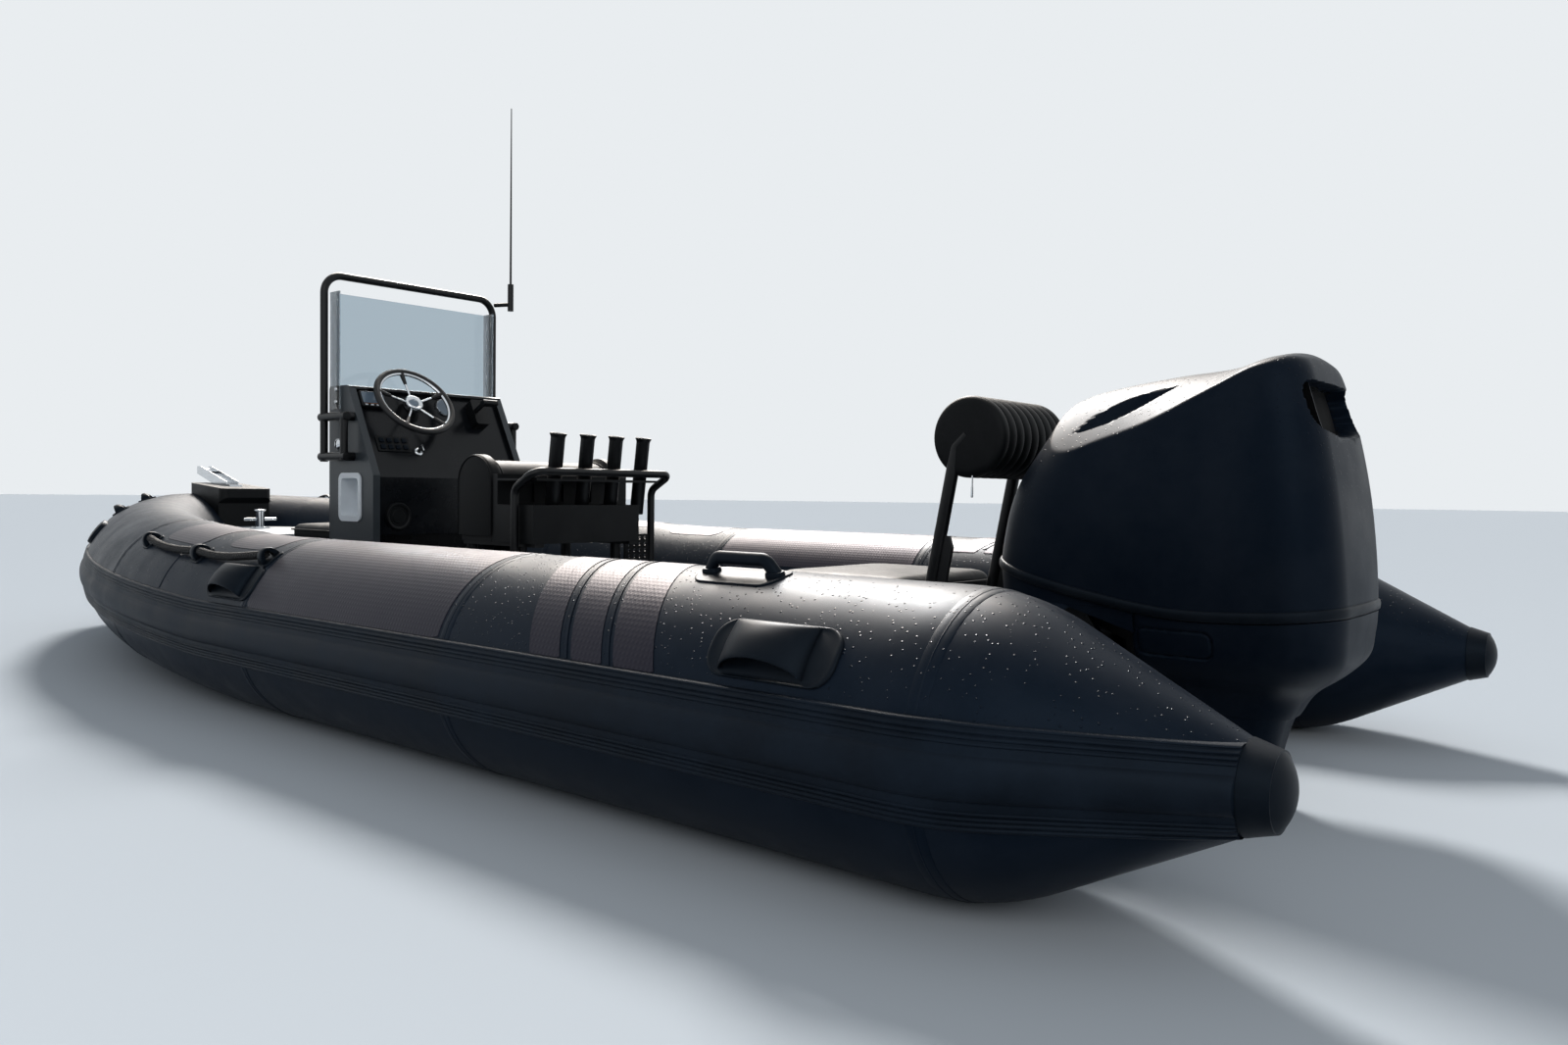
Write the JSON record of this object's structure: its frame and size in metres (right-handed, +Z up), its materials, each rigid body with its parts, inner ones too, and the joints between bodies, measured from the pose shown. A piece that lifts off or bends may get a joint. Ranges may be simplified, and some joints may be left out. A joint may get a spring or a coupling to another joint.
{
  "type": "inflatable rib boat",
  "caption": "Rigid inflatable boat with deep-V hull, air tubes, steering console, helm seat, stern seat and an outboard engine that tilts and steers.",
  "frame": {"origin": "on the centreline, at the waterline, on the transom's aft face", "axes": "+X forward to the bow, +Y to port, +Z up"},
  "size_m": [6.0613, 2.484, 3.01],
  "materials": {
    "tube_fabric": "satin coated fabric, glued seams",
    "hull_gelcoat": "gloss gelcoat",
    "deck_gelcoat": "non-slip gelcoat",
    "strake_rubber": "ribbed extruded rubber",
    "moulded_plastic": "grained moulding",
    "rope": "braided polyester",
    "stainless": "polished stainless steel",
    "console_gelcoat": "satin gelcoat",
    "white_plastic": "gloss moulding",
    "tinted_acrylic": "smoked cast acrylic",
    "black_tube": "powder coat",
    "upholstery": "marine vinyl",
    "engine_paint": "matte paint",
    "bracket_paint": "satin paint",
    "wheel_rim": "foamed grip"
  },
  "bodies": {
    "boat": {"hull": "hull_gelcoat", "deck": "deck_gelcoat", "transom": "hull_gelcoat", "tube_port_aft": "tube_fabric", "tube_port_mid": "tube_fabric", "tube_bow": "tube_fabric", "tube_starboard_mid": "tube_fabric", "tube_starboard_aft": "tube_fabric", "cone_caps": "moulded_plastic", "strake_port": "strake_rubber", "strake_starboard": "strake_rubber", "top_handles": "strake_rubber", "carry_handles": "strake_rubber", "grab_ropes": "rope", "rope_holders": "strake_rubber", "bow_deck": "deck_gelcoat", "bow_step": "moulded_plastic", "anchor_roller": "stainless", "mooring_bitt": "stainless", "bow_eye": "stainless", "stern_eyes": "stainless", "console": "console_gelcoat", "niche_rim": "white_plastic", "dash_display": "moulded_plastic", "console_hatch": "moulded_plastic", "helm_boss": "moulded_plastic", "throttle": "moulded_plastic", "windscreen": "tinted_acrylic", "screen_frame": "black_tube", "side_knob": "moulded_plastic", "aerial": "black_tube", "front_seat_box": "deck_gelcoat", "front_cushion": "upholstery", "seat_frame": "black_tube", "seat_pod": "moulded_plastic", "seat_cushion": "upholstery", "seat_panel": "moulded_plastic", "seat_rail": "black_tube", "rod_holders": "black_tube", "footrest": "black_tube", "stern_box": "deck_gelcoat", "clamp_bracket": "bracket_paint"},
    "stern_lid": {"stern_lid": "deck_gelcoat", "stern_cushion": "upholstery", "backrest_frame": "black_tube", "backrest_roll": "upholstery"},
    "swivel": {"swivel_bracket": "bracket_paint"},
    "outboard": {"cowl": "engine_paint", "lower_cowl": "engine_paint", "front_pan": "engine_paint", "side_aprons": "engine_paint", "driveshaft_housing": "engine_paint", "gearcase": "engine_paint"},
    "propeller": {"propeller": "stainless"},
    "helm_wheel": {"steering_wheel": "wheel_rim"}
  },
  "joints": [
    {"name": "outboard_tilt", "type": "hinge", "parent": "boat", "child": "swivel", "pos_m": [0.02, 0, 0.41], "axis": [0, 1, 0], "range_deg": [0, 60]},
    {"name": "outboard_steer", "type": "hinge", "parent": "swivel", "child": "outboard", "pos_m": [-0.135, 0, 0.2], "axis": [0, 0, 1], "range_deg": [-30, 30]},
    {"name": "propeller_spin", "type": "hinge", "parent": "outboard", "child": "propeller", "pos_m": [-0.545, 0, -0.44], "axis": [1, 0, 0], "continuous": true},
    {"name": "helm_turn", "type": "hinge", "parent": "boat", "child": "helm_wheel", "pos_m": [2.925, 0.115, 1.052], "axis": [-0.788, 0, 0.6157], "range_deg": [-540, 540]},
    {"name": "stern_lid_open", "type": "hinge", "parent": "boat", "child": "stern_lid", "pos_m": [0.905, 0, 0.4003], "axis": [0, 1, 0], "range_deg": [0, 90]}
  ],
  "couplings": [
    {"joint": "helm_turn", "follows": "outboard_steer", "ratio": 18},
    {"joint": "stern_lid_open", "follows": "outboard_tilt", "ratio": 1.5}
  ]
}
